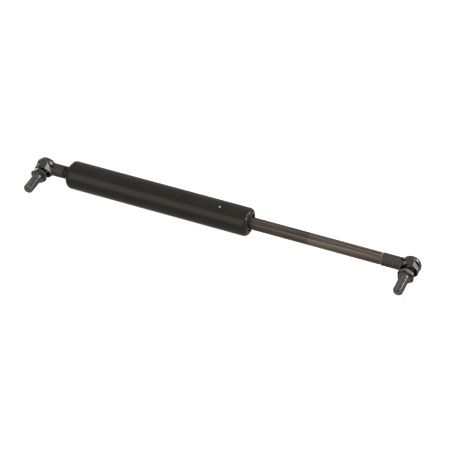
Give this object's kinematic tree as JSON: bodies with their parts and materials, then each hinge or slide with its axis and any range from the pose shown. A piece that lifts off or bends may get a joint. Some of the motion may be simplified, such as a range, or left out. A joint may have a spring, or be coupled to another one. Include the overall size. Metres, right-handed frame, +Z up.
{
  "type": "gas strut stay",
  "caption": "Gas strut stay: a sealed pressure tube, a sliding piston rod, and a ball joint with a threaded stud at each end, for holding a window, lid or shutter open.",
  "frame": {"origin": "centre of the ball at the tube's closed end", "axes": "+X along the strut from the tube-end ball to the rod-end ball, +Z up, and both ball studs point along -Y"},
  "size_m": [0.326, 0.043, 0.023],
  "materials": {
    "black_painted_steel": "warm black paint, semi-gloss, with small specks and fine orange peel",
    "oxide_rod_steel": "brown-grey oxide-nitrided rod with lengthwise streaks",
    "phosphated_socket_steel": "dark grey phosphated steel, matte, with a faint brown tint",
    "dark_plated_stud_steel": "dark plated steel, satin, brighter on the thread crests and hexagon edges",
    "spring_steel": "oiled blue-black spring steel",
    "plain_steel": "plain turned steel",
    "bearing_bronze": "sintered bronze, matte",
    "piston_aluminium": "plain turned aluminium",
    "seal_rubber": "black nitrile rubber with an oily sheen",
    "ring_plastic": "off-white bearing plastic"
  },
  "bodies": {
    "cylinder": {"cylinder_tube": "black_painted_steel", "end_plug": "plain_steel", "end_plug_oring": "seal_rubber", "rod_wiper": "seal_rubber", "rod_guide": "bearing_bronze", "guide_oring": "seal_rubber", "seal_support_washer": "plain_steel", "rod_seal": "seal_rubber", "extension_stop_washer": "plain_steel", "tube_end_socket": "phosphated_socket_steel"},
    "piston_seal": {"piston_ring": "ring_plastic"},
    "rod": {"piston_rod": "oxide_rod_steel", "piston_front_washer": "plain_steel", "flow_disc": "spring_steel", "piston_body": "piston_aluminium", "piston_rear_washer": "plain_steel", "rod_end_socket": "phosphated_socket_steel"},
    "tube_end_ring": {"tube_end_snap_ring": "spring_steel"},
    "tube_end_stud": {"tube_end_ball_stud": "dark_plated_stud_steel"},
    "rod_end_ring": {"rod_end_snap_ring": "spring_steel"},
    "rod_end_stud": {"rod_end_ball_stud": "dark_plated_stud_steel"}
  },
  "joints": [
    {"name": "rod_slide", "type": "slide", "parent": "cylinder", "child": "piston_seal", "axis": [1, 0, 0], "range_m": [-0.1, 0], "stiffness_N_per_m": 300, "springref_m": 0.33333},
    {"name": "rod_spin", "type": "hinge", "parent": "piston_seal", "child": "rod", "pos_m": [0.15, 0, 0], "axis": [1, 0, 0], "continuous": true},
    {"name": "tube_end_swivel", "type": "hinge", "parent": "cylinder", "child": "tube_end_ring", "pos_m": [0, 0, 0], "axis": [0, 0.9397, 0.342], "continuous": true},
    {"name": "tube_end_tilt", "type": "hinge", "parent": "tube_end_ring", "child": "tube_end_stud", "pos_m": [0, 0, 0], "axis": [0, 0, 1], "range_deg": [-15, 15]},
    {"name": "rod_end_swivel", "type": "hinge", "parent": "rod", "child": "rod_end_ring", "pos_m": [0.31, 0, 0], "axis": [0, 0.9945, 0.1045], "continuous": true},
    {"name": "rod_end_tilt", "type": "hinge", "parent": "rod_end_ring", "child": "rod_end_stud", "pos_m": [0.31, 0, 0], "axis": [0, 0, 1], "range_deg": [-15, 15]}
  ]
}
